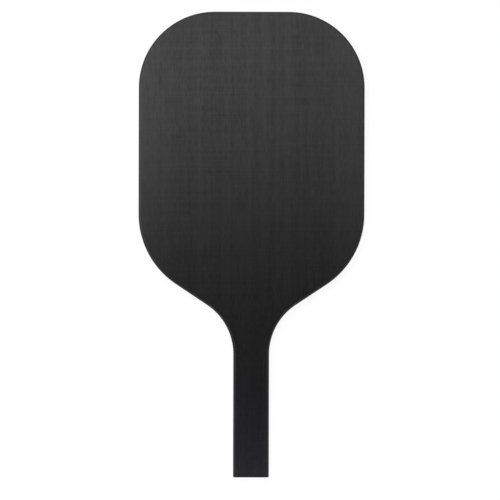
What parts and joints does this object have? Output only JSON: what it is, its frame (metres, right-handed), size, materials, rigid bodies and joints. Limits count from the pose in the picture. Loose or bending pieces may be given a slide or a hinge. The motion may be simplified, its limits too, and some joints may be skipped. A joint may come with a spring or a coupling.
{
  "type": "pickleball paddle",
  "caption": "Flat rounded racket blank: honeycomb sandwich with black carbon skins wrapped over the rim and a bare rectangular handle, for hitting a plastic ball.",
  "frame": {"origin": "middle of the back face, half way along the length", "axes": "+Y along the handle towards the top of the head, X across the width, +Z out of the front face"},
  "size_m": [0.1942, 0.4, 0.016],
  "materials": {
    "raw_carbon": "matte",
    "carbon_tape": "satin",
    "glass_laminate": "satin",
    "adhesive": "gloss",
    "veil": "matte",
    "honeycomb": "satin",
    "edge_foam": "matte",
    "seam_resin": "gloss"
  },
  "bodies": {
    "root": {"front_raw_carbon_ply": "raw_carbon", "back_raw_carbon_ply": "raw_carbon", "front_unidirectional_ply": "carbon_tape", "back_unidirectional_ply": "carbon_tape", "front_glass_ply": "glass_laminate", "back_glass_ply": "glass_laminate", "front_adhesive_film": "adhesive", "back_adhesive_film": "adhesive", "front_core_veil": "veil", "back_core_veil": "veil", "honeycomb_core": "honeycomb", "foam_edge_rail": "edge_foam", "edge_band": "carbon_tape", "seam_bead": "seam_resin"}
  },
  "joints": []
}
